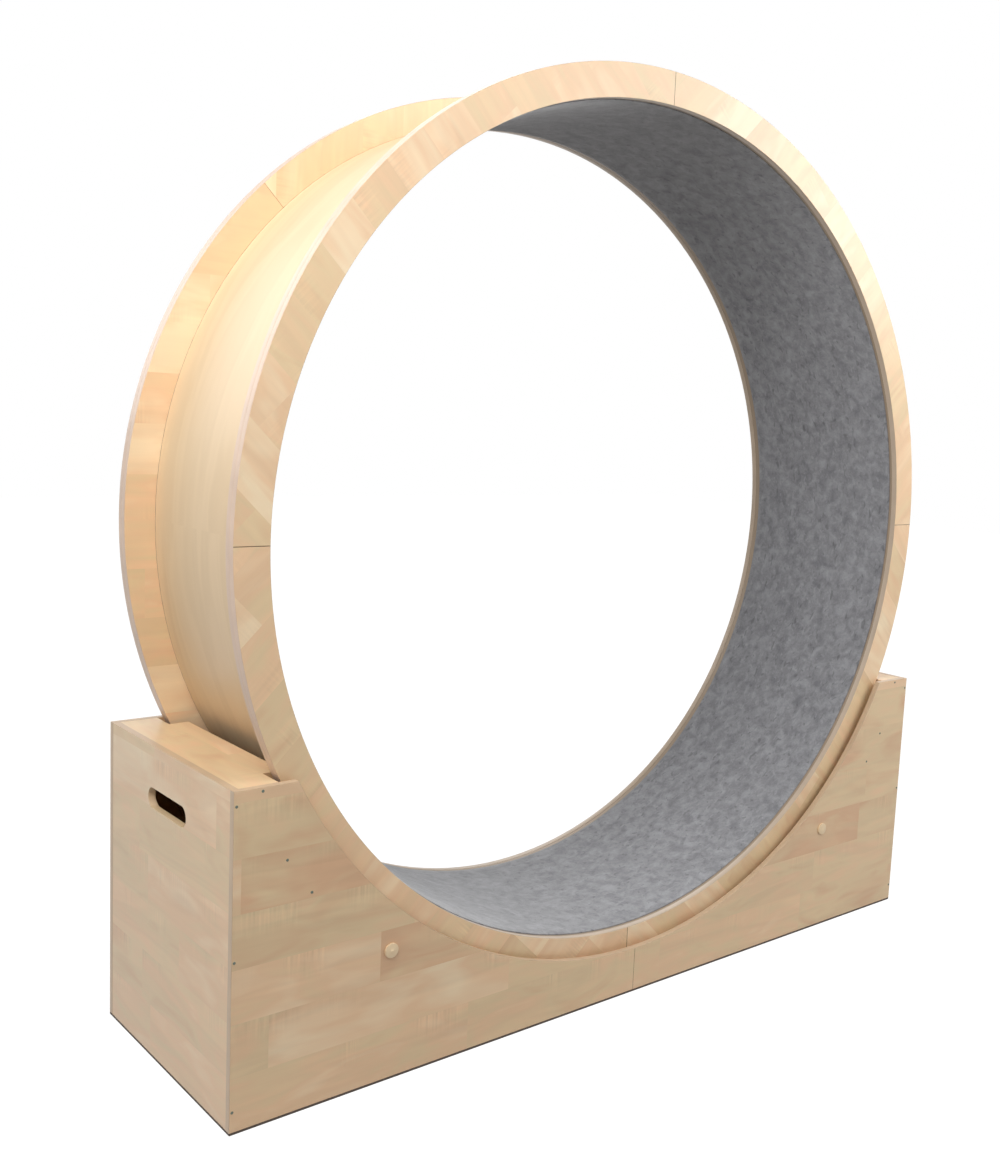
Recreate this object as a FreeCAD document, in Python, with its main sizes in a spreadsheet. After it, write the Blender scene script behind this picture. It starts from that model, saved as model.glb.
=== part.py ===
"""Cat exercise wheel: a two-rimmed running drum that turns on four rollers in a low wooden base.

Millimetres. X runs along the base, the front is -Y, Z is up, and the floor is Z = 0 under the middle of
the base. The drum turns about a line along Y. Every length below is a cell of the sheet called Sizes,
and each piece takes its size and its place from those cells.
"""
import FreeCAD, Part
import math
import os
import re

import Sketcher

# Driving sizes: name, millimetres or degrees, and what it is.
SIZES = (
    ("wheel_radius", 600, "outside radius of both rims"),
    ("wheel_width", 314, "width over both rims"),
    ("rim_depth", 42, "radial depth of the board on a rim's outer face"),
    ("rim_board", 9, "thickness of each of the two boards of a rim"),
    ("drum_board", 4, "thickness of the bent drum board"),
    ("felt_pile", 3, "thickness of the felt lining"),
    ("felt_front_margin", 13, "bare drum left between the felt and the front face"),
    ("felt_rear_margin", 18, "bare drum left between the felt and the rear face"),
    ("felt_seam", 1, "slit where the two ends of the felt meet"),
    ("joint_gap", 0.3, "hairline between two boards that are butted end to end"),
    ("ground_gap", 46, "height of the rims above the floor"),
    ("base_overhang", 3, "how far the base reaches past the rims at each end"),
    ("side_gap", 8, "air between a rim and the long panel beside it"),
    ("base_board", 9, "thickness of the boards of the base"),
    ("panel_height", 385, "height of the panels of the base"),
    ("arc_rise", 8.5, "height of the arc's centre above the drum's axis"),
    ("arc_cover", 9, "how far the arc's radius is smaller than the rims"),
    ("strip_height", 3, "thickness of the rubber strips on the floor"),
    ("slot_length", 107, "length of a hand slot"),
    ("slot_height", 25, "height of a hand slot"),
    ("slot_drop", 63.5, "distance from the top of the panel to the middle of the hand slot"),
    ("notch_gap", 5.3, "air between a rim and the notch in the top board"),
    ("tongue_gap", 22.5, "air between the drum and the tongue of the top board"),
    ("tongue_side_gap", 12, "air between a rim and the side of the tongue"),
    ("rail_angle", 54.9, "place of the cross rails, in degrees from straight down"),
    ("rail_gap", 35, "air between the rims and a cross rail"),
    ("rail_width", 90, "width of a cross rail"),
    ("cleat_length", 260, "length of the cleats that join the long panels' halves"),
    ("cleat_board", 18, "thickness of a cleat"),
    ("cleat_height", 36, "height of a cleat"),
    ("cleat_gap", 5, "air between the rims and a cleat"),
    ("roller_angle", 39.75, "place of the roller shafts, in degrees from straight down"),
    ("roller_radius", 28.5, "radius of a roller's tread"),
    ("roller_gap", 0.3, "air between a rim and the treads"),
    ("tread_overlap", 3, "how far the tread runs out past the rim's outer face"),
    ("flange_height", 3, "how far a roller's flange stands above its tread"),
    ("flange_width", 2.5, "width of the flange's slope"),
    ("flange_gap", 0.5, "air between a rim's inner face and the foot of the flange"),
    ("shaft_radius", 4, "radius of the roller shafts"),
    ("shaft_fit", 0.05, "radial play of a shaft in its bushes and rollers"),
    ("shaft_recess", 1, "how far a shaft ends short of the long panel's outer face"),
    ("bush_radius", 6, "outside radius of a bush"),
    ("bush_fit", 0.05, "radial play between a bush and the panel"),
    ("bush_gap", 0.5, "end play between a bush and its roller"),
    ("cap_radius", 9, "radius of a cover cap"),
    ("cap_rim", 2, "height of a cover cap's straight rim"),
    ("cap_crown", 1.1, "rise of a cover cap's dome above its rim"),
)

doc = FreeCAD.newDocument("CatWheel")
sheet = doc.addObject("Spreadsheet::Sheet", "Sizes")
for row, (alias, size, meaning) in enumerate(SIZES, start=1):
    sheet.set(f"A{row}", meaning)
    sheet.set(f"B{row}", str(size))
    sheet.setAlias(f"B{row}", alias)
doc.recompute()

ALIASES = re.compile(r"\b(" + "|".join(alias for alias, size, meaning in SIZES) + r")\b")
FULL_TURN = "360"
QUARTER_TURN = "90"

# Formulas that several pieces share.
AXIS_HEIGHT = "(ground_gap + wheel_radius)"
RIM_BORE = "(wheel_radius - rim_depth)"
DRUM_OUTSIDE = "(wheel_radius - rim_depth + drum_board)"
RIM_FACE = "(wheel_width / 2)"
RIM_INNER_FACE = "(wheel_width / 2 - 2 * rim_board)"
PANEL_INNER_FACE = "(wheel_width / 2 + side_gap)"
PANEL_OUTER_FACE = "(wheel_width / 2 + side_gap + base_board)"
BASE_HALF_LENGTH = "(wheel_radius + base_overhang)"
END_INNER_FACE = "(wheel_radius + base_overhang - base_board)"
BASE_TOP = "(strip_height + panel_height)"
TOP_DROP = f"({AXIS_HEIGHT} - {BASE_TOP})"
ROLLER_DISTANCE = "(wheel_radius + roller_gap + roller_radius)"
ROLLER_X = f"({ROLLER_DISTANCE} * sin(roller_angle))"
ROLLER_Z = f"({AXIS_HEIGHT} - {ROLLER_DISTANCE} * cos(roller_angle))"
ROLLER_OUTER_FACE = f"({RIM_FACE} + tread_overlap)"
TREAD_INNER_END = f"({RIM_INNER_FACE} - flange_gap)"
ROLLER_INNER_FACE = f"({RIM_INNER_FACE} - flange_gap - flange_width)"
SHAFT_BORE = "(shaft_radius + shaft_fit)"
JOINT_TURN = "(joint_gap / wheel_radius * 180 / pi)"


def bound(formula):
    """Point each size name in a formula at its cell of the sheet."""
    return ALIASES.sub(r"Sizes.\1", formula)


def value(formula):
    """The number that a formula of size names comes to."""
    return float(sheet.evalExpression(bound(formula)))


def origin_plane(body, role):
    """One of the three origin planes of a body."""
    return next(item for item in body.Origin.OriginFeatures if item.Role == role)


def new_body(label):
    """An empty body whose label is the name of its piece."""
    body = doc.addObject("PartDesign::Body", "Body_" + label)
    body.Label = label
    return body


def new_sketch(body, name, role):
    """An empty sketch on one of its body's origin planes."""
    sketch = body.newObject("Sketcher::SketchObject", name + "_" + body.Label)
    sketch.AttachmentSupport = (origin_plane(body, role), [""])
    sketch.MapMode = "FlatFace"
    return sketch


def place(piece, x="0", y="0", z="0", axis=None, turn="0"):
    """Bind the place of a piece, and its turn about one axis in degrees."""
    if axis:
        piece.Placement = FreeCAD.Placement(FreeCAD.Vector(), FreeCAD.Rotation(axis, 1))
        piece.setExpression("Placement.Rotation.Angle", bound(turn))
    for way, formula in (("x", x), ("y", y), ("z", z)):
        piece.setExpression("Placement.Base." + way, bound(formula))


ABOUT_Y = FreeCAD.Vector(0, 1, 0)
ABOUT_Z = FreeCAD.Vector(0, 0, 1)
# FreeCAD counts the points of a sketch's edge from 1, and the sketch's own axes down from -1.
START, END, CENTRE = range(1, 4)
HORIZONTAL_AXIS, VERTICAL_AXIS = range(-1, -3, -1)
SKETCH_ORIGIN = (HORIZONTAL_AXIS, START)
SKETCH_AXES = {"X": VERTICAL_AXIS, "Y": HORIZONTAL_AXIS}


def pin(sketch, edge, point, way, formula):
    """Hold one coordinate of a point of a sketch at a formula, measured from the sketch's origin."""
    if formula == "0":
        sketch.addConstraint(Sketcher.Constraint("PointOnObject", edge, point, SKETCH_AXES[way]))
        return
    number = sketch.addConstraint(
        Sketcher.Constraint("Distance" + way, *SKETCH_ORIGIN, edge, point, value(formula))
    )
    name = f"{way.lower()}_of_{edge}_{point}"
    sketch.renameConstraint(number, name)
    sketch.setExpression("Constraints." + name, bound(formula))


def set_radius(sketch, edge, formula):
    """Bind the radius of an arc or circle."""
    number = sketch.addConstraint(Sketcher.Constraint("Radius", edge, value(formula)))
    name = f"radius_of_{edge}"
    sketch.renameConstraint(number, name)
    sketch.setExpression("Constraints." + name, bound(formula))


def join(sketch, first, first_point, second, second_point):
    """Make two edges of a sketch meet."""
    sketch.addConstraint(Sketcher.Constraint("Coincident", first, first_point, second, second_point))


def add_line(sketch, start, end):
    """Draw a straight edge between two points, each a pair of numbers."""
    return sketch.addGeometry(Part.LineSegment(FreeCAD.Vector(*start, 0), FreeCAD.Vector(*end, 0)))


def add_arc(sketch, centre, radius, start, end):
    """Draw an arc round a centre, anticlockwise between two angles in radians."""
    circle = Part.Circle(FreeCAD.Vector(*centre, 0), FreeCAD.Vector(0, 0, 1), radius)
    return sketch.addGeometry(Part.ArcOfCircle(circle, start, end))


def add_polygon(sketch, corners):
    """Draw a closed polygon whose corners are pairs of formulas, and bind each corner."""
    numbers = [(value(x), value(y)) for x, y in corners]
    edges = [
        add_line(sketch, start, end)
        for start, end in zip(numbers, numbers[1:] + numbers[:1])
    ]
    for edge, following in zip(edges, edges[1:] + edges[:1]):
        join(sketch, edge, END, following, START)
    for edge, (x, y) in zip(edges, corners):
        pin(sketch, edge, START, "X", x)
        pin(sketch, edge, START, "Y", y)


def rectangle(low_x, low_y, high_x, high_y):
    """The four corners of a rectangle, as pairs of formulas."""
    return ((low_x, low_y), (high_x, low_y), (high_x, high_y), (low_x, high_y))


def pad(body, sketch, length):
    """Raise a sketch by a length."""
    raised = body.newObject("PartDesign::Pad", "Pad_" + body.Label)
    raised.Profile = sketch
    raised.setExpression("Length", bound(length))
    doc.recompute()
    return raised


def pocket(body, sketch):
    """Cut a sketch right through a body, both ways from its plane."""
    before = body.Shape.Volume
    cut = body.newObject("PartDesign::Pocket", sketch.Name.replace("Sketch", "Pocket"))
    cut.Profile = sketch
    cut.Type = "ThroughAll"
    cut.Midplane = True
    doc.recompute()
    if body.Shape.Volume >= before:
        raise RuntimeError(f"{cut.Label} cuts nothing out of {body.Label}")


def revolve(body, sketch, turn):
    """Turn a sketch about its own vertical axis, which runs along Y."""
    turned = body.newObject("PartDesign::Revolution", "Turned_" + body.Label)
    turned.Profile = sketch
    turned.ReferenceAxis = (sketch, ["V_Axis"])
    turned.setExpression("Angle", bound(turn))
    return turned


def ring_piece(label, bore, outside, width, front, start, sweep):
    """A flat or bent board that follows a circle about the drum's axis."""
    body = new_body(label)
    sketch = new_sketch(body, "Section", "XY_Plane")
    add_polygon(sketch, rectangle(bore, "0", outside, width))
    revolve(body, sketch, sweep)
    place(body, y=front, z=AXIS_HEIGHT, axis=ABOUT_Y, turn=start)
    return body


# ---- the drum and its rims ----

def rim_layer(side, layer, names, bore, front, first_joint):
    """The four quarter boards of one layer of a rim."""
    for count, name in enumerate(names):
        ring_piece(
            f"{side}_rim_{layer}_{name}",
            bore,
            "wheel_radius",
            "rim_board",
            front,
            f"{first_joint} + {count} * {QUARTER_TURN} + {JOINT_TURN} / 2",
            f"{QUARTER_TURN} - {JOINT_TURN}",
        )


def make_wheel():
    """Two rims of two staggered layers each, the bent drum between them, and its felt."""
    face_names = ("lower_right", "lower_left", "upper_left", "upper_right")
    backing_names = ("bottom", "left", "top", "right")
    rim_layer("front", "face", face_names, RIM_BORE, f"-{RIM_FACE}", 0)
    rim_layer("front", "backing", backing_names, DRUM_OUTSIDE, f"rim_board - {RIM_FACE}", 45)
    rim_layer("rear", "backing", backing_names, DRUM_OUTSIDE, RIM_INNER_FACE, 45)
    rim_layer("rear", "face", face_names, RIM_BORE, f"{RIM_FACE} - rim_board", 0)
    for name, start in (("left", 90), ("right", 270)):
        ring_piece(
            f"drum_panel_{name}",
            RIM_BORE,
            DRUM_OUTSIDE,
            "wheel_width - 2 * rim_board",
            f"rim_board - {RIM_FACE}",
            f"{start} + {JOINT_TURN} / 2",
            f"180 - {JOINT_TURN}",
        )
    seam_turn = f"(felt_seam / {RIM_BORE} * 180 / pi)"
    ring_piece(
        "felt_lining",
        f"{RIM_BORE} - felt_pile",
        RIM_BORE,
        "wheel_width - felt_front_margin - felt_rear_margin",
        f"felt_front_margin - {RIM_FACE}",
        f"180 + {seam_turn} / 2",
        f"{FULL_TURN} - {seam_turn}",
    )


# ---- the wooden base ----

def long_panel(label, on_left, back_face):
    """Half of a long panel: the rims' arc is cut out of its top, and a bush is set in it."""
    body = new_body(label)
    sketch = new_sketch(body, "Outline", "XZ_Plane")
    half_gap = "joint_gap / 2"
    arc_radius = "(wheel_radius - arc_cover)"
    arc_height = f"({AXIS_HEIGHT} + arc_rise - strip_height)"
    arc_drop = f"({arc_height} - panel_height)"
    arc_end = f"sqrt({arc_radius} * {arc_radius} - {arc_drop} * {arc_drop})"
    neck = f"({arc_height} - sqrt({arc_radius} * {arc_radius} - {half_gap} * {half_gap}))"
    corners = (
        (half_gap, "0"),
        (BASE_HALF_LENGTH, "0"),
        (BASE_HALF_LENGTH, "panel_height"),
        (arc_end, "panel_height"),
        (half_gap, neck),
    )
    numbers = [(value(x), value(y)) for x, y in corners]
    bottom, end, top = (add_line(sketch, numbers[i], numbers[i + 1]) for i in range(3))
    centre = (0.0, value(arc_height))
    start_angle = math.atan2(numbers[4][1] - centre[1], numbers[4][0])
    end_angle = math.atan2(numbers[3][1] - centre[1], numbers[3][0])
    arc = add_arc(sketch, centre, value(arc_radius), start_angle, end_angle)
    joint = add_line(sketch, numbers[4], numbers[0])
    join(sketch, bottom, END, end, START)
    join(sketch, end, END, top, START)
    join(sketch, top, END, arc, END)
    join(sketch, arc, START, joint, START)
    join(sketch, joint, END, bottom, START)
    pin(sketch, bottom, START, "X", half_gap)
    pin(sketch, bottom, START, "Y", "0")
    pin(sketch, bottom, END, "X", BASE_HALF_LENGTH)
    pin(sketch, bottom, END, "Y", "0")
    pin(sketch, end, END, "X", BASE_HALF_LENGTH)
    pin(sketch, end, END, "Y", "panel_height")
    pin(sketch, top, END, "Y", "panel_height")
    pin(sketch, joint, START, "X", half_gap)
    pin(sketch, arc, CENTRE, "X", "0")
    pin(sketch, arc, CENTRE, "Y", arc_height)
    set_radius(sketch, arc, arc_radius)
    pad(body, sketch, "base_board")
    hole = new_sketch(body, "SketchBushHole", "XZ_Plane")
    hole_radius = "bush_radius + bush_fit"
    hole_height = f"{ROLLER_Z} - strip_height"
    circle = hole.addGeometry(
        Part.Circle(
            FreeCAD.Vector(value(ROLLER_X), value(hole_height), 0),
            FreeCAD.Vector(0, 0, 1),
            value(hole_radius),
        )
    )
    pin(hole, circle, CENTRE, "X", ROLLER_X)
    pin(hole, circle, CENTRE, "Y", hole_height)
    set_radius(hole, circle, hole_radius)
    pocket(body, hole)
    if on_left:
        place(body, y=f"{back_face} - base_board", z="strip_height", axis=ABOUT_Z, turn="180")
    else:
        place(body, y=back_face, z="strip_height")


def end_panel(label, low_x):
    """A short panel between the long ones, with a hand slot near its top."""
    body = new_body(label)
    sketch = new_sketch(body, "Outline", "YZ_Plane")
    add_polygon(sketch, rectangle("0", "0", f"2 * {PANEL_INNER_FACE}", "panel_height"))
    pad(body, sketch, "base_board")
    slot = new_sketch(body, "SketchHandSlot", "YZ_Plane")
    radius = "slot_height / 2"
    reach = "(slot_length - slot_height) / 2"
    height = "panel_height - slot_drop"
    low_y = f"{PANEL_INNER_FACE} - {reach}"
    high_y = f"{PANEL_INNER_FACE} + {reach}"
    low = (value(low_y), value(height))
    high = (value(high_y), value(height))
    rise = value(radius)
    upper = add_line(slot, (low[0], low[1] + rise), (high[0], high[1] + rise))
    lower = add_line(slot, (low[0], low[1] - rise), (high[0], high[1] - rise))
    far_end = add_arc(slot, high, rise, -math.pi / 2, math.pi / 2)
    near_end = add_arc(slot, low, rise, math.pi / 2, 3 * math.pi / 2)
    for line, line_point, arc, arc_point in (
        (upper, END, far_end, END),
        (lower, END, far_end, START),
        (upper, START, near_end, START),
        (lower, START, near_end, END),
    ):
        slot.addConstraint(Sketcher.Constraint("Tangent", line, line_point, arc, arc_point))
    pin(slot, near_end, CENTRE, "X", low_y)
    pin(slot, near_end, CENTRE, "Y", height)
    pin(slot, far_end, CENTRE, "X", high_y)
    pin(slot, far_end, CENTRE, "Y", height)
    set_radius(slot, far_end, radius)
    pocket(body, slot)
    place(body, x=low_x, y=f"-{PANEL_INNER_FACE}", z="strip_height")


def top_board(label, on_left):
    """The board over one end of the base, notched for the rims, with a tongue towards the drum."""
    body = new_body(label)
    sketch = new_sketch(body, "Outline", "XY_Plane")
    notch = f"(sqrt(wheel_radius * wheel_radius - {TOP_DROP} * {TOP_DROP}) + notch_gap)"
    tongue = f"(sqrt({DRUM_OUTSIDE} * {DRUM_OUTSIDE} - {TOP_DROP} * {TOP_DROP}) + tongue_gap)"
    tongue_half = f"({RIM_INNER_FACE} - tongue_side_gap)"
    low_y = f"{PANEL_INNER_FACE} - {tongue_half}"
    high_y = f"{PANEL_INNER_FACE} + {tongue_half}"
    far_y = f"2 * {PANEL_INNER_FACE}"
    add_polygon(
        sketch,
        (
            (tongue, low_y),
            (notch, low_y),
            (notch, "0"),
            (END_INNER_FACE, "0"),
            (END_INNER_FACE, far_y),
            (notch, far_y),
            (notch, high_y),
            (tongue, high_y),
        ),
    )
    pad(body, sketch, "base_board")
    height = f"{BASE_TOP} - base_board"
    if on_left:
        place(body, y=PANEL_INNER_FACE, z=height, axis=ABOUT_Z, turn="180")
    else:
        place(body, y=f"-{PANEL_INNER_FACE}", z=height)


def board(label, length, width, height):
    """A plain rectangular board."""
    box = doc.addObject("Part::Box", "Board_" + label)
    box.Label = label
    for side, formula in (("Length", length), ("Width", width), ("Height", height)):
        box.setExpression(side, bound(formula))
    return box


def cross_rail(label, way):
    """A board from the front panel to the rear one, square to the rims' radius; way is 1 or -1."""
    rail = board(label, "rail_width", f"2 * {PANEL_INNER_FACE}", "base_board")
    distance = "(wheel_radius + rail_gap + base_board)"
    place(
        rail,
        x=f"{way} * {distance} * sin(rail_angle) - rail_width / 2 * cos(rail_angle)",
        y=f"-{PANEL_INNER_FACE}",
        z=f"{AXIS_HEIGHT} - {distance} * cos(rail_angle) - {way} * rail_width / 2 * sin(rail_angle)",
        axis=ABOUT_Y,
        turn=f"{-way} * rail_angle",
    )


def splice_cleat(label, low_y):
    """The batten behind the joint of a long panel's two halves, under the rims."""
    cleat = board(label, "cleat_length", "cleat_board", "cleat_height")
    place(cleat, x="-cleat_length / 2", y=low_y, z="ground_gap - cleat_gap - cleat_height")


def floor_strips():
    """The rubber strips under the lower edges of the four sides."""
    strips = []
    for name, length, width, x, y in (
        ("front", f"2 * {BASE_HALF_LENGTH}", "base_board", f"-{BASE_HALF_LENGTH}", f"-{PANEL_OUTER_FACE}"),
        ("rear", f"2 * {BASE_HALF_LENGTH}", "base_board", f"-{BASE_HALF_LENGTH}", PANEL_INNER_FACE),
        ("left", "base_board", f"2 * {PANEL_INNER_FACE}", f"-{BASE_HALF_LENGTH}", f"-{PANEL_INNER_FACE}"),
        ("right", "base_board", f"2 * {PANEL_INNER_FACE}", END_INNER_FACE, f"-{PANEL_INNER_FACE}"),
    ):
        strip = board(f"strip_{name}", length, width, "strip_height")
        place(strip, x=x, y=y)
        strips.append(strip)
    group = doc.addObject("Part::Compound", "FloorStrips")
    group.Label = "floor_strips"
    group.Links = strips
    return [strip.Name for strip in strips]


def make_base():
    """The box of boards that stands on the floor. Returns the names of the strips inside a group."""
    long_panel("front_panel_right", False, f"-{PANEL_INNER_FACE}")
    long_panel("front_panel_left", True, f"-{PANEL_INNER_FACE}")
    long_panel("rear_panel_right", False, PANEL_OUTER_FACE)
    long_panel("rear_panel_left", True, PANEL_OUTER_FACE)
    end_panel("left_end_panel", f"-{BASE_HALF_LENGTH}")
    end_panel("right_end_panel", END_INNER_FACE)
    top_board("left_top_board", True)
    top_board("right_top_board", False)
    cross_rail("left_cross_rail", -1)
    cross_rail("right_cross_rail", 1)
    splice_cleat("front_splice_cleat", f"-{PANEL_INNER_FACE}")
    splice_cleat("rear_splice_cleat", f"{PANEL_INNER_FACE} - cleat_board")
    return floor_strips()


# ---- the rollers and their shafts ----

def mirror_across(body, role):
    """A mirror in one of a body's origin planes."""
    mirror = body.newObject("PartDesign::Mirrored", f"Mirror_{role}_{body.Label}")
    mirror.MirrorPlane = (origin_plane(body, role), [""])
    return mirror


def roller_pair(label, way):
    """Two moulded rollers: a tread under each rim, with a sloped flange on the rim's inner side."""
    body = new_body(label)
    sketch = new_sketch(body, "Section", "XY_Plane")
    add_polygon(
        sketch,
        (
            (SHAFT_BORE, ROLLER_INNER_FACE),
            ("roller_radius + flange_height", ROLLER_INNER_FACE),
            ("roller_radius", TREAD_INNER_END),
            ("roller_radius", ROLLER_OUTER_FACE),
            (SHAFT_BORE, ROLLER_OUTER_FACE),
        ),
    )
    rear = revolve(body, sketch, FULL_TURN)
    doc.recompute()
    front = mirror_across(body, "XZ_Plane")
    front.Originals = [rear]
    body.Tip = front
    place(body, x=f"{way} * {ROLLER_X}", z=ROLLER_Z)


def roller_shaft(label, way):
    """A steel shaft that turns in a bush at either end and carries two rollers."""
    body = new_body(label)
    sketch = new_sketch(body, "Section", "XZ_Plane")
    half_length = f"({PANEL_OUTER_FACE} - shaft_recess)"
    circle = sketch.addGeometry(
        Part.Circle(FreeCAD.Vector(), FreeCAD.Vector(0, 0, 1), value("shaft_radius"))
    )
    join(sketch, circle, CENTRE, *SKETCH_ORIGIN)
    set_radius(sketch, circle, "shaft_radius")
    pad(body, sketch, f"2 * {half_length}")
    place(body, x=f"{way} * {ROLLER_X}", y=half_length, z=ROLLER_Z)


def at_each_corner(label, draw_section):
    """A turned piece at each of the four shaft ends, drawn in radius and distance from the middle."""
    body = new_body(label)
    sketch = new_sketch(body, "Section", "XY_Plane")
    sketch.setExpression("AttachmentOffset.Base.x", bound(ROLLER_X))
    draw_section(sketch)
    doc.recompute()
    turned = revolve(body, sketch, FULL_TURN)
    doc.recompute()
    corners = body.newObject("PartDesign::MultiTransform", "Corners_" + label)
    corners.Originals = [turned]
    corners.Transformations = [mirror_across(body, role) for role in ("XZ_Plane", "YZ_Plane")]
    body.Tip = corners
    place(body, z=ROLLER_Z)


def bush_section(sketch):
    """Half the section of a plain bush, from the panel's outer face nearly to the roller."""
    inner_end = f"{ROLLER_OUTER_FACE} + bush_gap"
    add_polygon(sketch, rectangle(SHAFT_BORE, inner_end, "bush_radius", PANEL_OUTER_FACE))


def cap_section(sketch):
    """Half the section of a low domed cap that covers the end of a shaft."""
    rim = f"({PANEL_OUTER_FACE} + cap_rim)"
    dome_radius = "((cap_radius * cap_radius + cap_crown * cap_crown) / (2 * cap_crown))"
    dome_centre = f"({rim} + cap_crown - {dome_radius})"
    corners = (
        ("0", f"{rim} + cap_crown"),
        ("0", PANEL_OUTER_FACE),
        ("cap_radius", PANEL_OUTER_FACE),
        ("cap_radius", rim),
    )
    numbers = [(value(x), value(y)) for x, y in corners]
    middle, back, side = (add_line(sketch, numbers[i], numbers[i + 1]) for i in range(3))
    centre = (0.0, value(dome_centre))
    start_angle = math.atan2(numbers[3][1] - centre[1], numbers[3][0])
    dome = add_arc(sketch, centre, value(dome_radius), start_angle, math.pi / 2)
    join(sketch, middle, END, back, START)
    join(sketch, back, END, side, START)
    join(sketch, side, END, dome, START)
    join(sketch, dome, END, middle, START)
    pin(sketch, back, START, "X", "0")
    pin(sketch, back, START, "Y", PANEL_OUTER_FACE)
    pin(sketch, side, START, "X", "cap_radius")
    pin(sketch, side, START, "Y", PANEL_OUTER_FACE)
    pin(sketch, side, END, "X", "cap_radius")
    pin(sketch, side, END, "Y", rim)
    pin(sketch, dome, CENTRE, "X", "0")
    pin(sketch, dome, CENTRE, "Y", dome_centre)
    pin(sketch, dome, END, "X", "0")


def make_rollers():
    """Two shafts, the rollers on them, and the bushes and caps at their ends."""
    for side, way in (("left", -1), ("right", 1)):
        roller_shaft(f"{side}_roller_shaft", way)
        roller_pair(f"{side}_rollers", way)
    at_each_corner("shaft_bushes", bush_section)
    at_each_corner("cover_caps", cap_section)


def check_and_write(inside_groups):
    """Test every object, then write each piece as a file of its own."""
    doc.recompute()
    for item in doc.Objects:
        if {"Invalid", "Error"} & set(item.State):
            raise RuntimeError(f"{item.Label} has failed: {item.State}")
    pieces = [
        item
        for item in doc.Objects
        if item.isDerivedFrom("PartDesign::Body")
        or item.TypeId in ("Part::Box", "Part::Compound")
    ]
    os.makedirs("parts", exist_ok=True)
    for piece in pieces:
        if piece.Name in inside_groups:
            continue
        if piece.Shape.isNull() or not piece.Shape.isValid():
            raise RuntimeError(f"{piece.Label} has no sound shape")
        piece.Shape.exportStep(os.path.join("parts", piece.Label + ".step"))
        print(piece.Label, len(piece.Shape.Solids), round(piece.Shape.Volume / 1000, 3), "cm3")


make_wheel()
grouped = make_base()
make_rollers()
check_and_write(grouped)
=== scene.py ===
"""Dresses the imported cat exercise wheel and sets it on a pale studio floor.

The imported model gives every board, roller and shaft its place. This script gives them their finishes and
adds what is thinner than the boards: the felt running surface, the ironed-on edge bands and the panel screws.
"""

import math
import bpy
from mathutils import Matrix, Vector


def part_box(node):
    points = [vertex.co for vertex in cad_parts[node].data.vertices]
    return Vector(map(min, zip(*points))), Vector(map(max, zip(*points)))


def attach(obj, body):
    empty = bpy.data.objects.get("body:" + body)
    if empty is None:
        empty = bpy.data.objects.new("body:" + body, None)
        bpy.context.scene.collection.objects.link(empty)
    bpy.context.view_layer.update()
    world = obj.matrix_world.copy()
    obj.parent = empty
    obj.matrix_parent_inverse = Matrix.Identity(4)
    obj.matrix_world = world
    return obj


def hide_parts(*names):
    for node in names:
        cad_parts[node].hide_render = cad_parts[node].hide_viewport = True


bl_info = {
    "name": "Cat exercise wheel",
    "version": (1, 0, 0),
    "blender": (4, 5, 0),
    "location": "View3D > Sidebar > Cat wheel",
    "description": "Finishes the boards, felt, bands and screws of a cat exercise wheel and sets its stage",
    "category": "Object",
}

import bmesh
import bpy
from bpy.props import FloatProperty, FloatVectorProperty, IntProperty, PointerProperty
from mathutils import Matrix, Vector, noise

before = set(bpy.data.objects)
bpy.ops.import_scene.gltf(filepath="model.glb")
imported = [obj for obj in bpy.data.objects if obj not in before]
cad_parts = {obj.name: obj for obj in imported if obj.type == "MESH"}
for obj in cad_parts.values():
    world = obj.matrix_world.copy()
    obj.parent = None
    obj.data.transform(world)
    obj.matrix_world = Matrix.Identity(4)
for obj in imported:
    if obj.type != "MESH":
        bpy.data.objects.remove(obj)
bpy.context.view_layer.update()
MM = 0.001

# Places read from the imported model, in metres.
QUARTER_LOW, QUARTER_HIGH = (Vector(corner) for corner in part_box("front_rim_face_upper_right"))
BACKING_LOW, BACKING_HIGH = (Vector(corner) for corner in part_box("front_rim_backing_top"))
FELT_LOW, FELT_HIGH = (Vector(corner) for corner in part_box("felt_lining"))
PANEL_LOW, PANEL_HIGH = (Vector(corner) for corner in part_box("front_panel_left"))
END_LOW, END_HIGH = (Vector(corner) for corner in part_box("left_end_panel"))
AXIS_HEIGHT = QUARTER_LOW.z
RIM_RADIUS = QUARTER_HIGH.x
BOARD = PANEL_HIGH.y - PANEL_LOW.y
END_X = -END_LOW.x

# The panels' arc: its radius and the height of its centre, and where it meets the top edge.
ARC_RADIUS = 591 * MM
ARC_HEIGHT = 654.5 * MM
ARC_LEAN = math.acos((ARC_HEIGHT - PANEL_HIGH.z) / ARC_RADIUS)
ARC_END_X = ARC_RADIUS * math.sin(ARC_LEAN)

# Radii of the felt's face, of the rims' bore and of the middle of the drum board.
INNER_FELT = 555 * MM
RIM_BORE = 558 * MM
DRUM_MIDDLE = 560 * MM

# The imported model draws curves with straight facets, which lie this far inside a true bore or arc at most.
BORE_FACETS = 0.25 * MM
ARC_FACETS = 0.1 * MM

# Half widths of the joint lines, and how much paler or darker a set of boards is painted than the rest: painted light
# on the rims, painted shade on the long panels.
RIM_JOINT, HAIRLINE_JOINT = 0.7 * MM, 0.35 * MM
FRONT_RIM_PAINTED_LIGHT, REAR_RIM_PAINTED_LIGHT, PANEL_PAINTED_SHADE = 0.03, 0.08, -0.04


def linear(code):
    """The linear colour of an sRGB hex code."""
    channels = [int(code[i : i + 2], 16) / 255 for i in (1, 3, 5)]
    return tuple(c / 12.92 if c <= 0.04045 else ((c + 0.055) / 1.055) ** 2.4 for c in channels)


def rgba(colour):
    """A colour setting with the alpha that a node's socket wants."""
    return (*colour[:3], 1.0)


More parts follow.
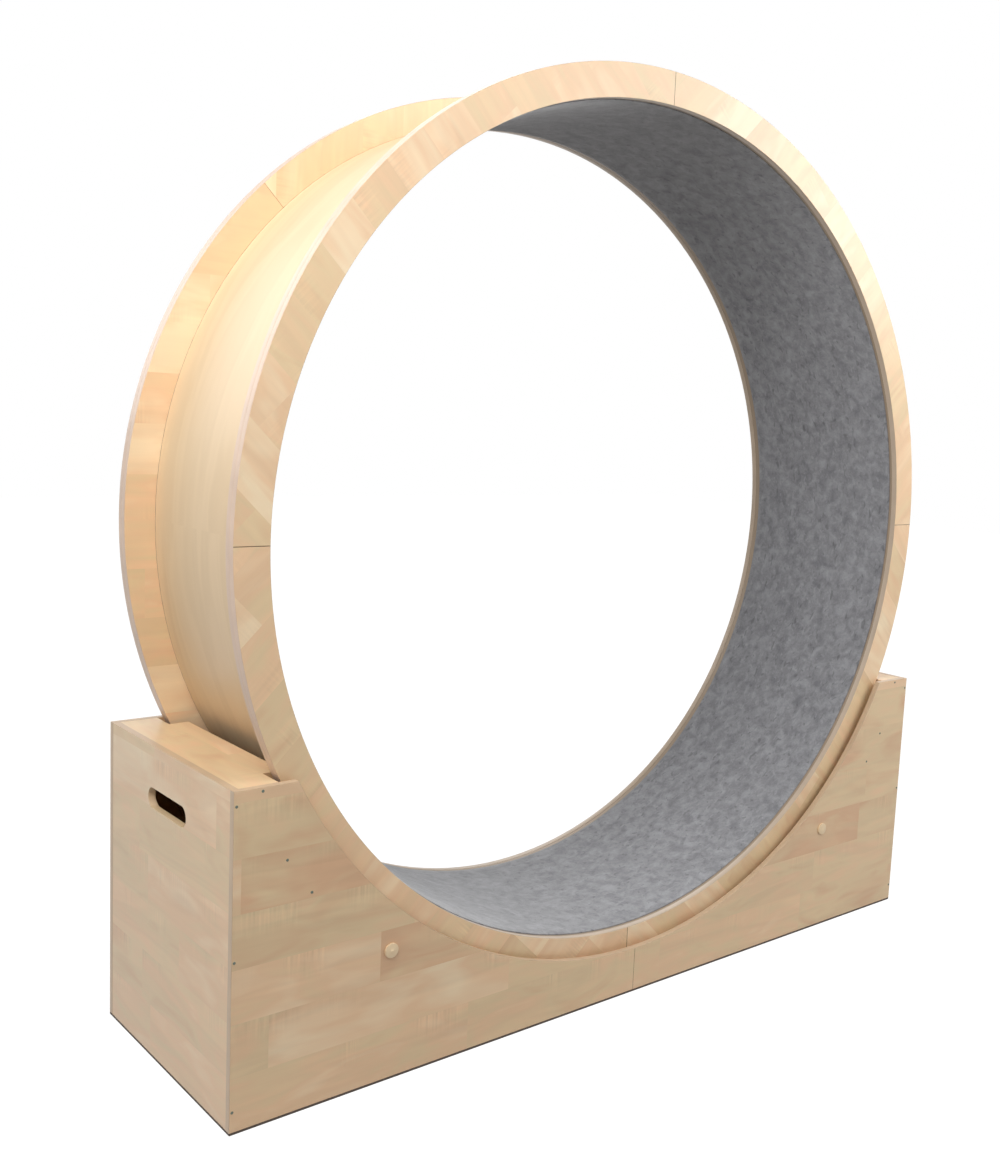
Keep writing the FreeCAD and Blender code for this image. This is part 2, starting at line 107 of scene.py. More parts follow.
# ---------------------------------------------------------------- settings


class BoardSettings(bpy.types.PropertyGroup):
    """The glued staves of the boards and the four tones that they are sorted from."""

    stave_width: FloatProperty(
        name="Stave width", description="Width of one glued stave", default=62 * MM, min=0.01, unit="LENGTH"
    )
    stave_length: FloatProperty(
        name="Stave length", description="Usual length of one stave", default=330 * MM, min=0.05, unit="LENGTH"
    )
    grain_width: FloatProperty(
        name="Grain width", description="Width of one streak of grain", default=2.4 * MM, min=0.0002, unit="LENGTH"
    )
    pale_tone: FloatVectorProperty(
        name="Pale tone", description="Lightest staves", subtype="COLOR", default=linear("#EFD8B5")
    )
    straw_tone: FloatVectorProperty(
        name="Straw tone", description="Yellowish staves", subtype="COLOR", default=linear("#E1C79F")
    )
    peach_tone: FloatVectorProperty(
        name="Peach tone", description="Warm staves", subtype="COLOR", default=linear("#E7C39D")
    )
    rose_tone: FloatVectorProperty(
        name="Rose tone", description="Darkest, pinkish staves", subtype="COLOR", default=linear("#D9B18C")
    )
    glue_line: FloatVectorProperty(
        name="Glue line", description="Brown line where two boards meet", subtype="COLOR", default=linear("#8A6A4C")
    )


class BandSettings(bpy.types.PropertyGroup):
    """The melamine bands that are ironed onto the cut edges."""

    thickness: FloatProperty(
        name="Band thickness", description="How far a band stands off its edge", default=0.15 * MM, unit="LENGTH"
    )
    softening: FloatProperty(
        name="Band softening", description="Width of the filed corner", default=0.4 * MM, unit="LENGTH"
    )
    rim_colour: FloatVectorProperty(
        name="Rim bands", description="Pale pinkish bands of the rims", subtype="COLOR", default=linear("#D8BEA9")
    )
    # The bore bands are painted a darker taupe than the outer bands, as painted shade inside the rims.
    bore_shade_tone: FloatVectorProperty(
        name="Bore bands", description="Taupe bands inside the rims", subtype="COLOR", default=linear("#C4B09A")
    )
    # The base bands are painted darker, as painted shade against the light that falls on their upward-facing edges.
    base_shade_tone: FloatVectorProperty(
        name="Base bands", description="Wood-toned bands of the base", subtype="COLOR", default=linear("#C8AE91")
    )


class FeltSettings(bpy.types.PropertyGroup):
    """The pressed needle felt on the running surface."""

    seam: FloatProperty(name="Seam", description="Gap of the butt seam", default=1 * MM, unit="LENGTH")
    wander: FloatProperty(
        name="Edge wander", description="How far the knife wandered along an edge", default=0.6 * MM, unit="LENGTH"
    )
    nap: FloatProperty(
        name="Nap", description="Depth of the hollows in the pile", default=0.35 * MM, unit="LENGTH"
    )
    clump: FloatProperty(
        name="Clump size", description="Size of one clump of fibre", default=17 * MM, min=0.001, unit="LENGTH"
    )
    around: IntProperty(name="Steps around", description="Mesh steps round the drum", default=720, min=64)
    across: IntProperty(name="Steps across", description="Mesh steps across the felt", default=44, min=8)
    colour: FloatVectorProperty(
        name="Felt grey", description="Usual grey of the felt", subtype="COLOR", default=linear("#909093")
    )
    dark: FloatVectorProperty(
        name="Dark fibre", description="Dark fibres and hollows", subtype="COLOR", default=linear("#7C7C80")
    )
    light: FloatVectorProperty(
        name="Light fibre", description="Light fibres", subtype="COLOR", default=linear("#A3A3A7")
    )


class ScrewSettings(bpy.types.PropertyGroup):
    """The small countersunk screws that hold the long panels."""

    head: FloatProperty(name="Head width", description="Across the head", default=3.4 * MM, unit="LENGTH")
    rise: FloatProperty(
        name="Head rise", description="How far the head stands off the board", default=0.4 * MM, unit="LENGTH"
    )
    recess: FloatProperty(name="Recess width", description="Across the cross", default=2.2 * MM, unit="LENGTH")
    slot: FloatProperty(name="Slot width", description="Width of one arm", default=0.6 * MM, unit="LENGTH")
    colour: FloatVectorProperty(
        name="Zinc", description="Zinc plate with a greenish cast", subtype="COLOR", default=linear("#6F776C")
    )


class StageSettings(bpy.types.PropertyGroup):
    """The camera of the photograph, the lamps and the floor."""

    camera_place: FloatVectorProperty(
        name="Camera",
        description="Where the camera stands",
        subtype="TRANSLATION",
        default=(-1.18328, -1.37985, 0.80298),
    )
    camera_target: FloatVectorProperty(
        name="Target", description="What it looks at", subtype="TRANSLATION", default=(0.045353, 0.0, 0.567845)
    )
    camera_roll: FloatProperty(
        name="Roll", description="Tilt of the picture", subtype="ANGLE", default=math.radians(2.943)
    )
    lens: FloatProperty(name="Lens", description="Focal length in mm on a 36 mm frame", default=38.8655, min=5)
    shift: FloatVectorProperty(
        name="Shift", description="How far the frame lies off the lens axis", size=2, default=(-0.08189, -0.00841)
    )
    sky: FloatProperty(name="Room light", description="Strength of the even light", default=0.26, min=0)
    floor_glow: FloatProperty(
        name="Floor white", description="Share of plain white that the camera sees on the floor", default=0.85
    )


# ---------------------------------------------------------------- materials


def add(tree, kind, links=None, **settings):
    """Adds a node with its settings. A socket in links is joined, and anything else is the input's value."""
    node = tree.nodes.new(kind)
    for name, value in settings.items():
        setattr(node, name, value)
    for key, value in (links or {}).items():
        if isinstance(value, bpy.types.NodeSocket):
            tree.links.new(value, node.inputs[key])
        else:
            node.inputs[key].default_value = value
    return node


def new_material(name):
    """An empty node material, and its tree."""
    material = bpy.data.materials.new(name)
    material.use_nodes = True
    material.node_tree.nodes.clear()
    return material, material.node_tree


def set_stops(ramp, stops):
    """Gives a colour ramp its stops, each a place and a colour."""
    elements = ramp.color_ramp.elements
    while len(elements) < len(stops):
        elements.new(0.5)
    for element, (place, colour) in zip(elements, stops):
        element.position = place
        element.color = rgba(colour)


def object_point(tree):
    """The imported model's own coordinates, whole and as three parts."""
    point = add(tree, "ShaderNodeTexCoord").outputs["Object"]
    return point, add(tree, "ShaderNodeSeparateXYZ", {0: point}).outputs


def about_axis(tree, parts):
    """Height above the wheel's axis, and the angle round it."""
    rise = add(tree, "ShaderNodeMath", {0: parts[2], 1: AXIS_HEIGHT}, operation="SUBTRACT").outputs[0]
    return rise, add(tree, "ShaderNodeMath", {0: rise, 1: parts[0]}, operation="ARCTAN2").outputs[0]


def seen_plainly(tree):
    """1 for rays from the camera, from gloss and through glass, and 0 for the rest."""
    path = add(tree, "ShaderNodeLightPath").outputs
    direct = add(
        tree, "ShaderNodeMath", {0: path["Is Camera Ray"], 1: path["Is Glossy Ray"]}, operation="MAXIMUM"
    ).outputs[0]
    return add(
        tree, "ShaderNodeMath", {0: direct, 1: path["Is Transmission Ray"]}, operation="MAXIMUM"
    ).outputs[0]


def output(tree, shader):
    """Joins a shader to the material's output."""
    add(tree, "ShaderNodeOutputMaterial", {"Surface": shader.outputs[0]})


def softened_normal(tree, radius):
    """A normal that runs round sharp edges, as sanding and lacquer leave them."""
    return add(tree, "ShaderNodeBevel", {"Radius": radius}, samples=4).outputs[0]


def grain_height(tree, along, across, depth, width, shift):
    """Fine streaks along a board: the value is 0 to 1 and changes quickly across the grain only."""
    stretch = 46.0
    point = add(
        tree,
        "ShaderNodeCombineXYZ",
        {
            0: add(tree, "ShaderNodeMath", {0: along, 1: 1 / (width * stretch)}, operation="MULTIPLY").outputs[0],
            1: add(tree, "ShaderNodeMath", {0: across, 1: 1 / width}, operation="MULTIPLY").outputs[0],
            2: add(tree, "ShaderNodeMath", {0: depth, 1: 1 / width}, operation="MULTIPLY").outputs[0],
        },
    )
    return add(
        tree,
        "ShaderNodeTexNoise",
        {"Vector": point.outputs[0], "W": shift, "Scale": 1.0, "Detail": 3.0, "Roughness": 0.62},
        noise_dimensions="4D",
    ).outputs[0]


def figure_height(tree, along, across, depth, shift):
    """The figure of flat-sawn wood: slow clouds, and growth rings that run as long nested waves."""
    point = add(
        tree,
        "ShaderNodeCombineXYZ",
        {
            0: add(tree, "ShaderNodeMath", {0: along, 1: 1 / 0.34}, operation="MULTIPLY").outputs[0],
            1: add(tree, "ShaderNodeMath", {0: across, 1: 1 / 0.045}, operation="MULTIPLY").outputs[0],
            2: add(tree, "ShaderNodeMath", {0: depth, 1: 1 / 0.20}, operation="MULTIPLY").outputs[0],
        },
    )
    cloud = add(
        tree,
        "ShaderNodeTexNoise",
        {"Vector": point.outputs[0], "W": shift, "Scale": 1.0, "Detail": 2.0, "Roughness": 0.45, "Distortion": 0.7},
        noise_dimensions="4D",
    ).outputs[0]
    # One turn of the sine for each sixth of the cloud's range puts the rings 12 to 40 mm apart.
    rings = add(
        tree,
        "ShaderNodeMath",
        {0: add(tree, "ShaderNodeMath", {0: cloud, 1: math.tau * 6}, operation="MULTIPLY").outputs[0]},
        operation="SINE",
    ).outputs[0]
    return add(tree, "ShaderNodeMath", {0: rings, 1: 0.07, 2: cloud}, operation="MULTIPLY_ADD").outputs[0]


def satin_wood(tree, colour, height, edge_radius=0.5 * MM, roughness=(0.28, 0.38)):
    """The lacquered surface: satin, with a trace of the grain in its relief."""
    rough = add(tree, "ShaderNodeMapRange", {0: height, 3: roughness[0], 4: roughness[1]}).outputs[0]
    relief = add(
        tree,
        "ShaderNodeBump",
        {"Height": height, "Strength": 0.25, "Distance": 0.06 * MM, "Normal": softened_normal(tree, edge_radius)},
    ).outputs[0]
    shader = add(
        tree,
        "ShaderNodeBsdfPrincipled",
        {"Base Color": colour, "Roughness": rough, "Normal": relief, "IOR": 1.5},
    )
    output(tree, shader)


def staved_colour(tree, boards, along, across, depth, seed, phase, lift=0.0):
    """The colour and relief of rows of staves: each stave has its own tone, grain and figure.

    lift is added to the shade, and twice to the tone: painted light where it is above 0, painted shade where it is
    below.
    """
    width = boards.stave_width
    steps = add(
        tree,
        "ShaderNodeMath",
        {0: add(tree, "ShaderNodeMath", {0: across, 1: phase}, operation="SUBTRACT").outputs[0], 1: width},
        operation="DIVIDE",
    ).outputs[0]
    row = add(tree, "ShaderNodeMath", {0: steps}, operation="FLOOR").outputs[0]
    in_row = add(tree, "ShaderNodeMath", {0: steps}, operation="FRACT").outputs[0]
    row_key = add(tree, "ShaderNodeMath", {0: row, 1: seed}, operation="ADD").outputs[0]
    row_chance = add(tree, "ShaderNodeTexWhiteNoise", {"W": row_key}, noise_dimensions="1D").outputs[0]
    row_shift = add(tree, "ShaderNodeMath", {0: row_chance, 1: 40.0}, operation="MULTIPLY").outputs[0]
    place = add(
        tree,
        "ShaderNodeMath",
        {0: along, 1: 1 / boards.stave_length, 2: row_shift},
        operation="MULTIPLY_ADD",
    ).outputs[0]
    stave = add(
        tree,
        "ShaderNodeTexVoronoi",
        {"W": place, "Scale": 1.0, "Randomness": 0.85},
        voronoi_dimensions="1D",
        feature="F1",
    )
    chance = add(tree, "ShaderNodeSeparateColor", {0: stave.outputs["Color"]})
    shift = add(tree, "ShaderNodeMath", {0: chance.outputs[1], 1: 30.0}, operation="MULTIPLY").outputs[0]
    grain = grain_height(tree, along, across, depth, boards.grain_width, shift)
    figure = figure_height(tree, along, across, depth, shift)
    # The tone wanders inside a stave by as much as it differs between staves.
    blush = add(
        tree,
        "ShaderNodeTexNoise",
        {
            "Vector": add(
                tree,
                "ShaderNodeVectorMath",
                {
                    0: add(tree, "ShaderNodeCombineXYZ", {0: along, 1: across, 2: depth}).outputs[0],
                    1: (1 / 0.11, 1 / 0.035, 1 / 0.11),
                },
                operation="MULTIPLY",
            ).outputs[0],
            "W": shift,
            "Scale": 1.0,
            "Detail": 2.0,
            "Distortion": 0.8,
        },
        noise_dimensions="4D",
    ).outputs[0]
    # lift shifts the tone twice over: painted light where it is above 0, painted shade where it is below.
    tone = add(
        tree,
        "ShaderNodeMath",
        {0: chance.outputs[0], 1: 0.55, 2: add(
            tree, "ShaderNodeMath", {0: blush, 1: 1.1, 2: 2 * lift - 0.3}, operation="MULTIPLY_ADD").outputs[0]},
        operation="MULTIPLY_ADD",
    ).outputs[0]
    tones = add(tree, "ShaderNodeValToRGB", {0: tone})
    set_stops(
        tones,
        [(0.1, boards.rose_tone), (0.4, boards.straw_tone), (0.62, boards.peach_tone), (0.95, boards.pale_tone)],
    )
    # Short marks across the grain hang from the top of some rows, 2 to 4 mm apart.
    marks = add(
        tree,
        "ShaderNodeTexNoise",
        {
            "Vector": add(
                tree,
                "ShaderNodeVectorMath",
                {
                    0: add(tree, "ShaderNodeCombineXYZ", {0: along, 1: across, 2: depth}).outputs[0],
                    1: (1 / 0.0028, 1 / 0.05, 1 / 0.05),
                },
                operation="MULTIPLY",
            ).outputs[0],
            "Scale": 1.0,
            "Detail": 1.0,
        },
    ).outputs[0]
    patch = add(
        tree,
        "ShaderNodeTexNoise",
        {
            "W": shift,
            "Vector": add(tree, "ShaderNodeCombineXYZ", {0: along, 1: row_chance, 2: depth}).outputs[0],
            "Scale": 1 / 0.06,
            "Detail": 1.0,
        },
        noise_dimensions="4D",
    ).outputs[0]
    patch = add(tree, "ShaderNodeMapRange", {0: patch, 1: 0.50, 2: 0.66}).outputs[0]
    hang = add(tree, "ShaderNodeMapRange", {0: in_row, 1: 0.45, 2: 0.95}).outputs[0]
    patch = add(tree, "ShaderNodeMath", {0: patch, 1: hang}, operation="MULTIPLY").outputs[0]
    marks = add(tree, "ShaderNodeMath", {0: marks, 1: -0.5}, operation="ADD").outputs[0]
    marks = add(tree, "ShaderNodeMath", {0: marks, 1: patch}, operation="MULTIPLY").outputs[0]
    seam = add(tree, "ShaderNodeMath", {0: in_row, 1: 0.5 * MM / width}, operation="LESS_THAN").outputs[0]
    # lift adds painted light to the shade, or painted shade where it is below 0.
    shade = add(tree, "ShaderNodeMath", {0: figure, 1: 0.26, 2: 0.84 + lift}, operation="MULTIPLY_ADD").outputs[0]
    for part, weight in ((grain, 0.06), (marks, 0.4), (seam, -0.02)):
        shade = add(tree, "ShaderNodeMath", {0: part, 1: weight, 2: shade}, operation="MULTIPLY_ADD").outputs[0]
    tinted = add(
        tree, "ShaderNodeVectorMath", {0: tones.outputs[0], "Scale": shade}, operation="SCALE"
    ).outputs[0]
    return tinted, grain


def beech_staves_lacquered(name, boards, order, seed, phase=0.0, joint=None, lift=0.0):
    """Beech staves glued to a board, sanded and satin lacquered: rows of warm blocks with a soft sheen.

    order gives the axes that run along, across and through the staves.
    """
    material, tree = new_material(name)
    parts = object_point(tree)[1]
    along, across, depth = (parts[axis] for axis in order)
    colour, grain = staved_colour(tree, boards, along, across, depth, seed, phase, lift)
    if joint is not None:
        gap = add(
            tree,
            "ShaderNodeMath",
            {0: add(tree, "ShaderNodeMath", {0: parts[0]}, operation="ABSOLUTE").outputs[0], 1: joint},
            operation="LESS_THAN",
        ).outputs[0]
        colour = add(
            tree, "ShaderNodeMix", {0: gap, 6: colour, 7: rgba(boards.glue_line)}, data_type="RGBA"
        ).outputs[2]
    satin_wood(tree, colour, grain)
    return material


def beech_staves_cut_in_quarters(name, boards, offset, seed, lift, joint=RIM_JOINT):
    """The same board cut into quarter rings: the staves of each quarter lie along its middle radius.

    offset is the angle from the X axis at which the first quarter starts.
    """
    material, tree = new_material(name)
    point, parts = object_point(tree)
    angle = about_axis(tree, parts)[1]
    quarter = add(
        tree,
        "ShaderNodeMath",
        {0: add(
            tree, "ShaderNodeMath", {0: angle, 1: 2 / math.pi, 2: -offset * 2 / math.pi}, operation="MULTIPLY_ADD"
        ).outputs[0]},
        operation="FLOOR",
    ).outputs[0]
    middle = add(
        tree,
        "ShaderNodeMath",
        {0: quarter, 1: math.pi / 2, 2: offset + math.pi / 4},
        operation="MULTIPLY_ADD",
    ).outputs[0]
    turned = add(
        tree,
        "ShaderNodeVectorRotate",
        {"Vector": point, "Center": (0.0, 0.0, AXIS_HEIGHT), "Angle": middle},
        rotation_type="Y_AXIS",
    ).outputs[0]
    laid = add(tree, "ShaderNodeSeparateXYZ", {0: turned}).outputs
    across = add(tree, "ShaderNodeMath", {0: quarter, 1: 1.517, 2: laid[2]}, operation="MULTIPLY_ADD").outputs[0]
    colour, grain = staved_colour(tree, boards, laid[0], across, laid[1], seed, 0.0, lift)
    # A quarter's ends lie at 45 degrees to its middle radius, so the joint is where the two lengths agree.
    side = add(
        tree,
        "ShaderNodeMath",
        {0: add(tree, "ShaderNodeMath", {0: laid[2], 1: AXIS_HEIGHT}, operation="SUBTRACT").outputs[0]},
        operation="ABSOLUTE",
    ).outputs[0]
    gap = add(
        tree,
        "ShaderNodeMath",
        {0: add(tree, "ShaderNodeMath", {0: laid[0], 1: side}, operation="SUBTRACT").outputs[0], 1: joint},
        operation="LESS_THAN",
    ).outputs[0]
    colour = add(tree, "ShaderNodeMix", {0: gap, 6: colour, 7: rgba(boards.glue_line)}, data_type="RGBA").outputs[2]
    satin_wood(tree, colour, grain)
    return material


def birch_plywood_bent(name, pale, deep, inside_painted_shade, rear_painted_shade):
    """Thin plywood bent to a drum and lacquered: plain, with long faint streaks round the drum.

    Its inside is painted browner as shade, and darker still at the rear as deeper painted shade, and a thin dark line
    of painted shade runs where it enters a rim.
    """
    material, tree = new_material(name)
    parts = object_point(tree)[1]
    rise, angle = about_axis(tree, parts)
    along = add(tree, "ShaderNodeMath", {0: angle, 1: RIM_RADIUS}, operation="MULTIPLY").outputs[0]
    grain = grain_height(tree, along, parts[1], 0.0, 3.0 * MM, 2.0)
    figure = figure_height(tree, along, parts[1], 0.0, 5.0)
    tone = add(tree, "ShaderNodeMath", {0: grain, 1: 0.16, 2: figure}, operation="MULTIPLY_ADD").outputs[0]
    colour = add(tree, "ShaderNodeValToRGB", {0: tone})
    set_stops(colour, [(0.3, deep), (0.9, pale)])
    reach = add(
        tree,
        "ShaderNodeVectorMath",
        {0: add(tree, "ShaderNodeCombineXYZ", {0: parts[0], 1: rise}).outputs[0]},
        operation="LENGTH",
    ).outputs["Value"]
    # Painted shade: the drum's inside, between the felt and the rims, is browner, and darker still at the rear.
    inside = add(tree, "ShaderNodeMath", {0: reach, 1: DRUM_MIDDLE}, operation="LESS_THAN").outputs[0]
    side = add(tree, "ShaderNodeMath", {0: parts[1]}, operation="ABSOLUTE").outputs[0]
    # Painted shade: a thin dark line where the drum enters a rim.
    rim_shade_line = add(
        tree, "ShaderNodeMath", {0: side, 1: -BACKING_HIGH.y - 0.9 * MM}, operation="GREATER_THAN"
    ).outputs[0]
    # Where either painted shade lies, its colour replaces the wood.
    dark = add(tree, "ShaderNodeMath", {0: inside, 1: rim_shade_line}, operation="MAXIMUM").outputs[0]
    behind = add(tree, "ShaderNodeMath", {0: parts[1]}, operation="GREATER_THAN").outputs[0]
    inner = add(tree, "ShaderNodeMix", {0: behind, 6: rgba(inside_painted_shade), 7: rgba(rear_painted_shade)}, data_type="RGBA").outputs[2]
    mixed = add(tree, "ShaderNodeMix", {0: dark, 6: colour.outputs[0], 7: inner}, data_type="RGBA").outputs[2]
    satin_wood(tree, mixed, grain, roughness=(0.36, 0.46))
    return material


def beech_batten_planed(name, pale, deep):
    """A planed batten of plain beech, unlacquered: dull, with clear long grain."""
    material, tree = new_material(name)
    parts = object_point(tree)[1]
    grain = grain_height(tree, parts[1], parts[2], parts[0], 2.0 * MM, 7.0)
    colour = add(tree, "ShaderNodeValToRGB", {0: grain})
    set_stops(colour, [(0.3, deep), (0.7, pale)])
    satin_wood(tree, colour.outputs[0], grain, roughness=(0.6, 0.72))
    return material


def melamine_band_ironed(name, tone):
    """Melamine edge band, pressed smooth and ironed on: pale, even and a little shinier than the board."""
    material, tree = new_material(name)
    point = add(tree, "ShaderNodeTexCoord").outputs["Object"]
    cloud = add(tree, "ShaderNodeTexNoise", {"Vector": point, "Scale": 1 / 0.035, "Detail": 2.0}).outputs[0]
    colour = add(tree, "ShaderNodeValToRGB", {0: cloud})
    base = Vector(tone)
    set_stops(colour, [(0.3, base * 0.93), (0.7, base * 1.04)])
    rough = add(tree, "ShaderNodeMapRange", {0: cloud, 3: 0.30, 4: 0.38}).outputs[0]
    shader = add(tree, "ShaderNodeBsdfPrincipled", {"Base Color": colour.outputs[0], "Roughness": rough, "IOR": 1.5})
    output(tree, shader)
    return material


def polyester_felt_pressed(name, felt):
    """Needle felt pressed from grey polyester: dull, mottled by clumps and by loose light and dark fibres."""
    material, tree = new_material(name)
    point = add(tree, "ShaderNodeTexCoord").outputs["Object"]
    clumps = add(
        tree,
        "ShaderNodeTexNoise",
        {"Vector": point, "Scale": 1 / felt.clump, "Detail": 3.0, "Roughness": 0.5, "Distortion": 0.5},
    ).outputs[0]
    # Real fibres are 0.03 mm thick, which no render shows, so they are drawn 2 to 3 mm wide.
    strands = add(
        tree,
        "ShaderNodeTexNoise",
        {"Vector": point, "Scale": 1 / (8 * MM), "Detail": 2.0, "Roughness": 0.5, "Distortion": 2.0},
    ).outputs[0]
    fleck_noises = [
        add(
            tree,
            "ShaderNodeTexNoise",
            {
                "Vector": add(
                    tree, "ShaderNodeVectorMath", {0: point, 1: stretch}, operation="MULTIPLY"
                ).outputs[0],
                "Scale": 1.0,
                "Detail": 0.0,
                "Distortion": 0.6,
            },
        ).outputs[0]
        for stretch in ((1 / 0.007, 1 / 0.007, 1 / 0.016), (1 / 0.018, 1 / 0.006, 1 / 0.008))
    ]
    pile = add(
        tree, "ShaderNodeTexNoise", {"Vector": point, "Scale": 1 / (1.4 * MM), "Detail": 2.0}
    ).outputs[0]
    mottle = add(
        tree,
        "ShaderNodeMath",
        {0: clumps, 1: 0.7, 2: add(tree, "ShaderNodeMath", {0: strands, 1: 0.3}, operation="MULTIPLY").outputs[0]},
        operation="MULTIPLY_ADD",
    ).outputs[0]
    grey = add(tree, "ShaderNodeValToRGB", {0: mottle})
    set_stops(grey, [(0.34, felt.dark), (0.5, felt.colour), (0.68, felt.light)])
    colour = grey.outputs[0]
    fleck_tones = (Vector(felt.dark) * 0.5, Vector(felt.light) * 1.15)
    for noise_value, tone, most in zip(fleck_noises, fleck_tones, (0.45, 0.35)):
        fleck = add(tree, "ShaderNodeMapRange", {0: noise_value, 1: 0.70, 2: 0.78, 3: 0.0, 4: most}).outputs[0]
        colour = add(tree, "ShaderNodeMix", {0: fleck, 6: colour, 7: rgba(tone)}, data_type="RGBA").outputs[2]
    relief = add(
        tree,
        "ShaderNodeBump",
        {
            "Height": add(
                tree, "ShaderNodeMath", {0: pile, 1: 0.5, 2: mottle}, operation="MULTIPLY_ADD"
            ).outputs[0],
            "Strength": 0.55,
            "Distance": 0.7 * MM,
        },
    ).outputs[0]
    rough = add(tree, "ShaderNodeMapRange", {0: pile, 3: 0.86, 4: 0.98}).outputs[0]
    shader = add(
        tree,
        "ShaderNodeBsdfPrincipled",
        {
            "Base Color": colour,
            "Roughness": rough,
            "Normal": relief,
            "Specular IOR Level": 0.15,
            "Sheen Weight": 0.55,
            "Sheen Roughness": 0.5,
        },
    )
    output(tree, shader)
    return material


def speckled(name, colour, roughness, grit, contrast=0.1, metallic=0.0, lines=None):
    """A worked engineering surface: small changes of tone and gloss at the given grit, and turning lines if any."""
    material, tree = new_material(name)
    point = add(tree, "ShaderNodeTexCoord").outputs["Object"]
    cloud = add(tree, "ShaderNodeTexNoise", {"Vector": point, "Scale": 1 / grit, "Detail": 3.0}).outputs[0]
    tones = add(tree, "ShaderNodeValToRGB", {0: cloud})
    base = Vector(colour)
    set_stops(tones, [(0.3, base * (1 - contrast)), (0.7, base * (1 + contrast))])
    rough = add(tree, "ShaderNodeMapRange", {0: cloud, 3: roughness * 0.9, 4: roughness * 1.1}).outputs[0]
    height = cloud
    if lines:
        height = add(
            tree,
            "ShaderNodeTexWave",
            {"Vector": point, "Scale": math.tau / lines / 20, "Distortion": 0.4},
            wave_type="BANDS",
            bands_direction="Y",
        ).outputs[1]
    relief = add(
        tree,
        "ShaderNodeBump",
        {"Height": height, "Strength": 0.3, "Distance": 0.05 * MM, "Normal": softened_normal(tree, 0.3 * MM)},
    ).outputs[0]
    shader = add(
        tree,
        "ShaderNodeBsdfPrincipled",
        {"Base Color": tones.outputs[0], "Roughness": rough, "Normal": relief, "Metallic": metallic},
    )
    output(tree, shader)
    return material


def finish_nodes(material, *names):
    """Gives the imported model's nodes a material."""
    for name in names:
        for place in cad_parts[name].material_slots:
            place.material = material


# ---------------------------------------------------------------- meshes


def new_piece(name, vertices, faces, material, body, smooth=True):
    """A mesh object that rides on a body and takes the given finish."""
    mesh = bpy.data.meshes.new(name)
    mesh.from_pydata(vertices, [], faces)
    mesh.validate()
    mesh.materials.append(material)
    piece = bpy.data.objects.new(name, mesh)
    bpy.context.scene.collection.objects.link(piece)
    tidy = bmesh.new()
    tidy.from_mesh(mesh)
    bmesh.ops.recalc_face_normals(tidy, faces=tidy.faces)
    tidy.to_mesh(mesh)
    tidy.free()
    if smooth:
        mesh.shade_smooth()
        mesh.set_sharp_from_angle(angle=math.radians(40))
    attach(piece, body)
    return piece


def swept(path, section, closed):
    """Vertices and faces of a section carried along a path. Each stop of the path is a point and two unit vectors."""
    vertices = [point + across * u + outward * v for point, across, outward in path for u, v in section]
    count = len(section)
    stops = len(path)
    faces = []
    for i in range(stops if closed else stops - 1):
        here, there = i * count, (i + 1) % stops * count
        for j in range(count):
            k = (j + 1) % count
            faces.append((here + j, here + k, there + k, there + j))
    if not closed:
        faces.append(tuple(range(count)))
        faces.append(tuple(range((stops - 1) * count, stops * count)))
    return vertices, faces


def band_section(width, band, lift=0.0):
    """The section of an edge band: flat, with its long corners filed soft and its back just in the board.

    lift raises its face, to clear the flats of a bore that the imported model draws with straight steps.
    """
    half = width / 2
    soft, proud, sunk = band.softening, band.thickness + lift, -0.05 * MM
    return [(-half, sunk), (-half, proud * 0.3), (-half + soft * 0.4, proud * 0.8), (-half + soft, proud),
            (half - soft, proud), (half - soft * 0.4, proud * 0.8), (half, proud * 0.3), (half, sunk)]


def circle_path(radius, y, steps, outward=1, start=0.0, sweep=math.tau):
    """Stops on a circle round the wheel's axis, or on an arc of it."""
    path = []
    count = steps if sweep == math.tau else steps + 1
    for i in range(count):
        angle = start + sweep * i / steps
        ray = Vector((math.cos(angle), 0, math.sin(angle)))
        path.append((Vector((0, y, AXIS_HEIGHT)) + ray * radius, Vector((0, 1, 0)), ray * outward))
    return path


class CatWheelOperator:
    """What the operators share."""

    bl_options = {"REGISTER", "UNDO"}


